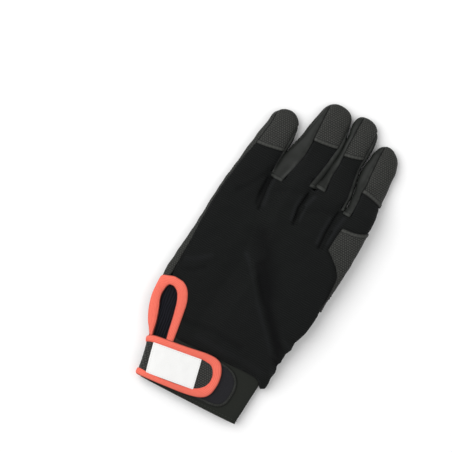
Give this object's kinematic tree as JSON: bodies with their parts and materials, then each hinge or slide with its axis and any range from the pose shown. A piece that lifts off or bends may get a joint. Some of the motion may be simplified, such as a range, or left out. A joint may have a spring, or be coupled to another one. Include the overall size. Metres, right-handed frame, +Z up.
{
  "type": "lined work glove",
  "caption": "Lined left-hand work glove of black cloth and textured leather, with a closing wrist strap in coral tape, lying palm down.",
  "frame": {"origin": "on the surface it lies on, under the middle of the glove's bounding box", "axes": "+X towards the index edge, +Y towards the fingertips, +Z up out of the back of the hand"},
  "size_m": [0.1244, 0.2594, 0.0232],
  "materials": {
    "black_cloth": "near-black stretch cloth with fine ribs",
    "pebbled_leather": "dark grey synthetic leather with a pebbled grip texture",
    "smooth_leather": "smooth dark grey synthetic leather",
    "cuff_cloth": "dark grey cuff cloth, elastic on the palm side",
    "loop_cloth": "fuzzy blue-black loop tape",
    "coral_tape": "coral folded binding tape",
    "label_cloth": "plain white woven label, bare"
  },
  "bodies": {
    "root": {"back_panel": "black_cloth", "palm_panel": "pebbled_leather", "fourchette_little_ring": "smooth_leather", "fourchette_ring_middle": "smooth_leather", "fourchette_middle_index": "smooth_leather", "cap_little": "pebbled_leather", "cap_ring": "pebbled_leather", "cap_middle": "pebbled_leather", "cap_index": "pebbled_leather", "crotch_patch": "pebbled_leather", "thumb_front": "pebbled_leather", "thumb_back": "black_cloth", "cuff_back": "cuff_cloth", "cuff_palm": "cuff_cloth", "strap": "pebbled_leather", "strap_binding": "coral_tape", "label": "label_cloth", "loop_pad": "loop_cloth", "vent_binding": "coral_tape", "vent_gusset": "black_cloth", "pull_tab": "pebbled_leather"}
  },
  "joints": []
}
